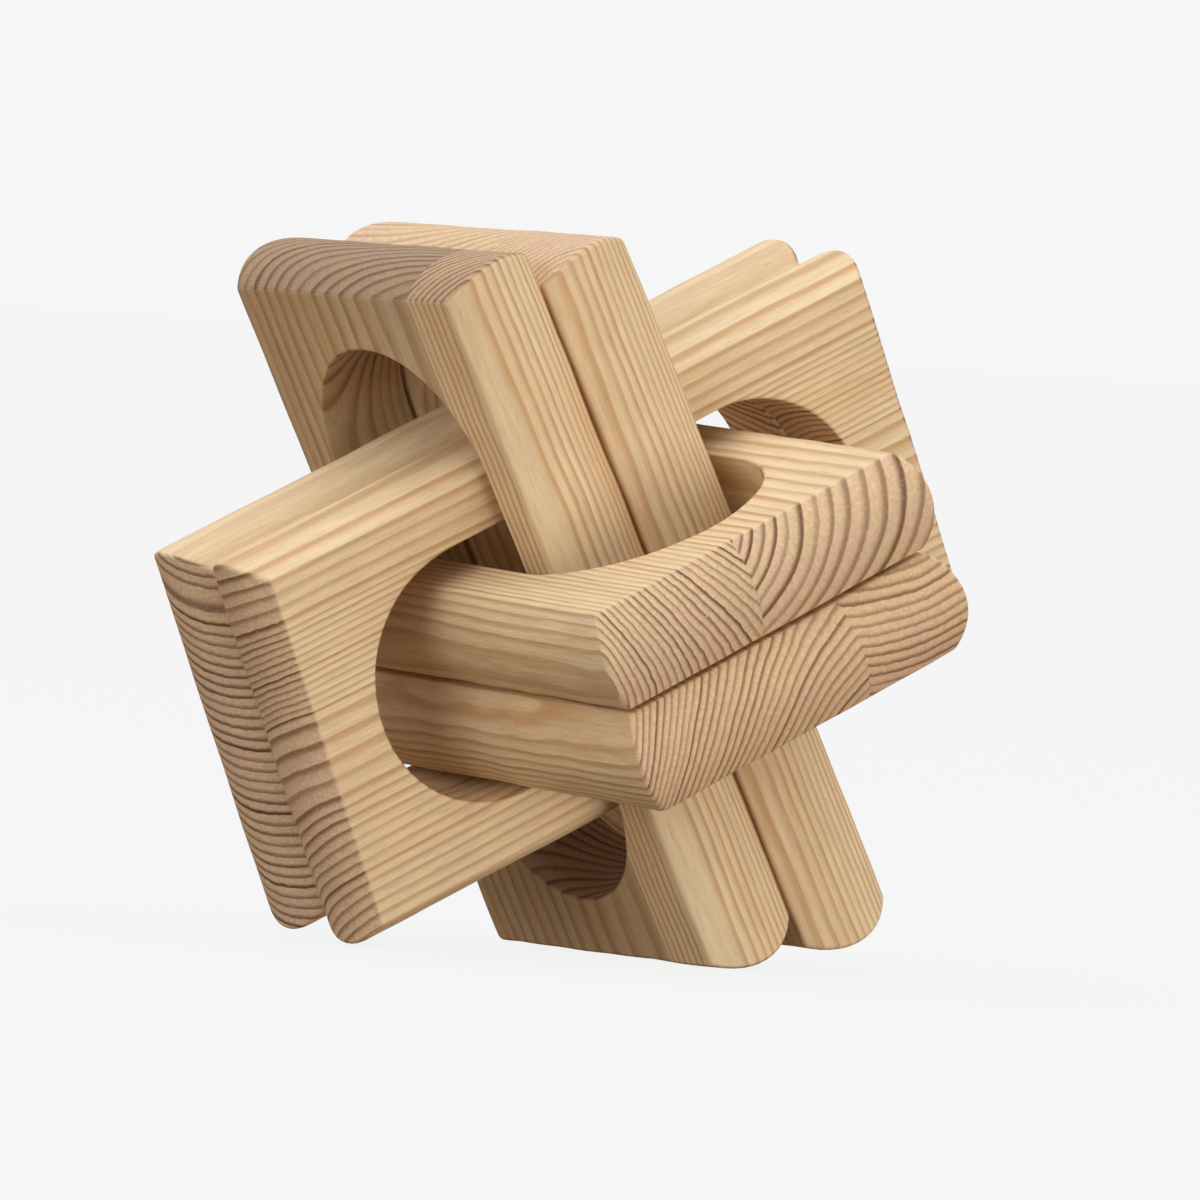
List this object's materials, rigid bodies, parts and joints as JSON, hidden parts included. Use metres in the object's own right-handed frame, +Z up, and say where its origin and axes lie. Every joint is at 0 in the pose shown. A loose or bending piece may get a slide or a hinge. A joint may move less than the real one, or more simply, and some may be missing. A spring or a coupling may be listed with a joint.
{
  "type": "wooden burr puzzle",
  "caption": "Interlocking puzzle of flat pine boards with round-ended windows, crossed in pairs so that each pair passes through the next.",
  "frame": {"origin": "middle of the underside of the bounding box, on the surface that the puzzle leans on", "axes": "+Z up; +X right, along the lean of the cross boards; the closed ends of the fork boards point to the front, -Y"},
  "size_m": [0.0906, 0.081, 0.0749],
  "materials": {
    "fork_upper_wood": "bare sanded softwood with strong growth rings",
    "fork_lower_wood": "bare sanded softwood with strong growth rings",
    "cross_front_board_wood": "bare sanded softwood with strong growth rings",
    "cross_rear_board_wood": "bare sanded softwood with strong growth rings",
    "upright_left_board_wood": "bare sanded softwood with strong growth rings",
    "upright_right_board_wood": "bare sanded softwood with strong growth rings"
  },
  "bodies": {
    "cross_rear": {"cross_rear_board": "cross_rear_board_wood"},
    "cross_front": {"cross_front_board": "cross_front_board_wood"},
    "upright_left": {"upright_left_board": "upright_left_board_wood"},
    "upright_right": {"upright_right_board": "upright_right_board_wood"},
    "upper_fork": {"fork_upper": "fork_upper_wood"},
    "lower_fork": {"fork_lower": "fork_lower_wood"}
  },
  "joints": [
    {"name": "fork_upper_slide", "type": "slide", "parent": "cross_rear", "child": "upper_fork", "axis": [0, -0.9994, -0.0342], "range_m": [-0.005, 0.065]},
    {"name": "fork_lower_slide", "type": "slide", "parent": "cross_rear", "child": "lower_fork", "axis": [0, -0.9994, -0.0342], "range_m": [-0.005, 0.065]},
    {"name": "cross_front_slack", "type": "slide", "parent": "cross_rear", "child": "cross_front", "axis": [0.8899, -0.0311, 0.4551], "range_m": [-0.003, 0.003]},
    {"name": "upright_left_slack", "type": "slide", "parent": "cross_rear", "child": "upright_left", "axis": [-0.505, -0.0069, 0.8631], "range_m": [-0.0045, 0.004]},
    {"name": "upright_right_slack", "type": "slide", "parent": "cross_rear", "child": "upright_right", "axis": [-0.505, -0.0069, 0.8631], "range_m": [-0.0005, 0.0065]}
  ]
}
